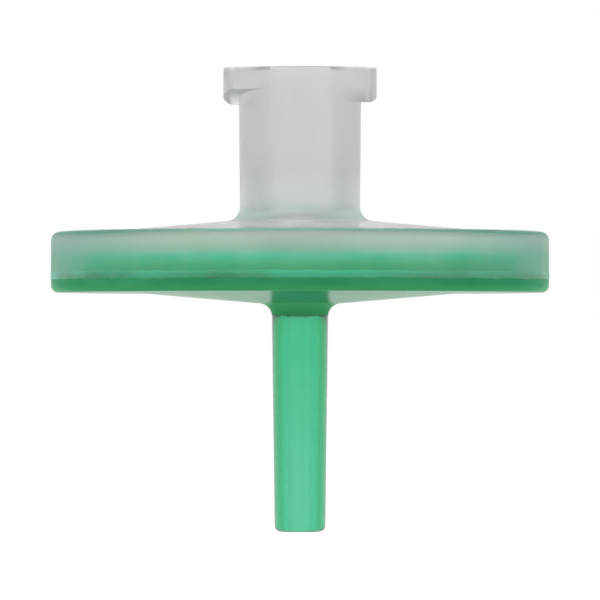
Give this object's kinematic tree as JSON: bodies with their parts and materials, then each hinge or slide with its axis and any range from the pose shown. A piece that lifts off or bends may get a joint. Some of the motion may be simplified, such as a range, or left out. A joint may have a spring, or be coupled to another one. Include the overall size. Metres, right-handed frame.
{
  "type": "syringe filter",
  "caption": "Round syringe filter: translucent luer-lock inlet half welded to a green outlet half with a slim nozzle, a membrane disc clamped between them.",
  "frame": {"origin": "centre of the luer socket's mouth, in the plane of the hub's end face", "axes": "+Z along the flow axis, out of the inlet; +X through the middle of one locking ear"},
  "size_m": [0.0252, 0.0252, 0.0236],
  "materials": {
    "natural_polypropylene": "satin",
    "green_polypropylene": "satin",
    "membrane": "matte"
  },
  "bodies": {
    "root": {"inlet_housing": "natural_polypropylene", "membrane": "membrane", "outlet_housing": "green_polypropylene"}
  },
  "joints": []
}
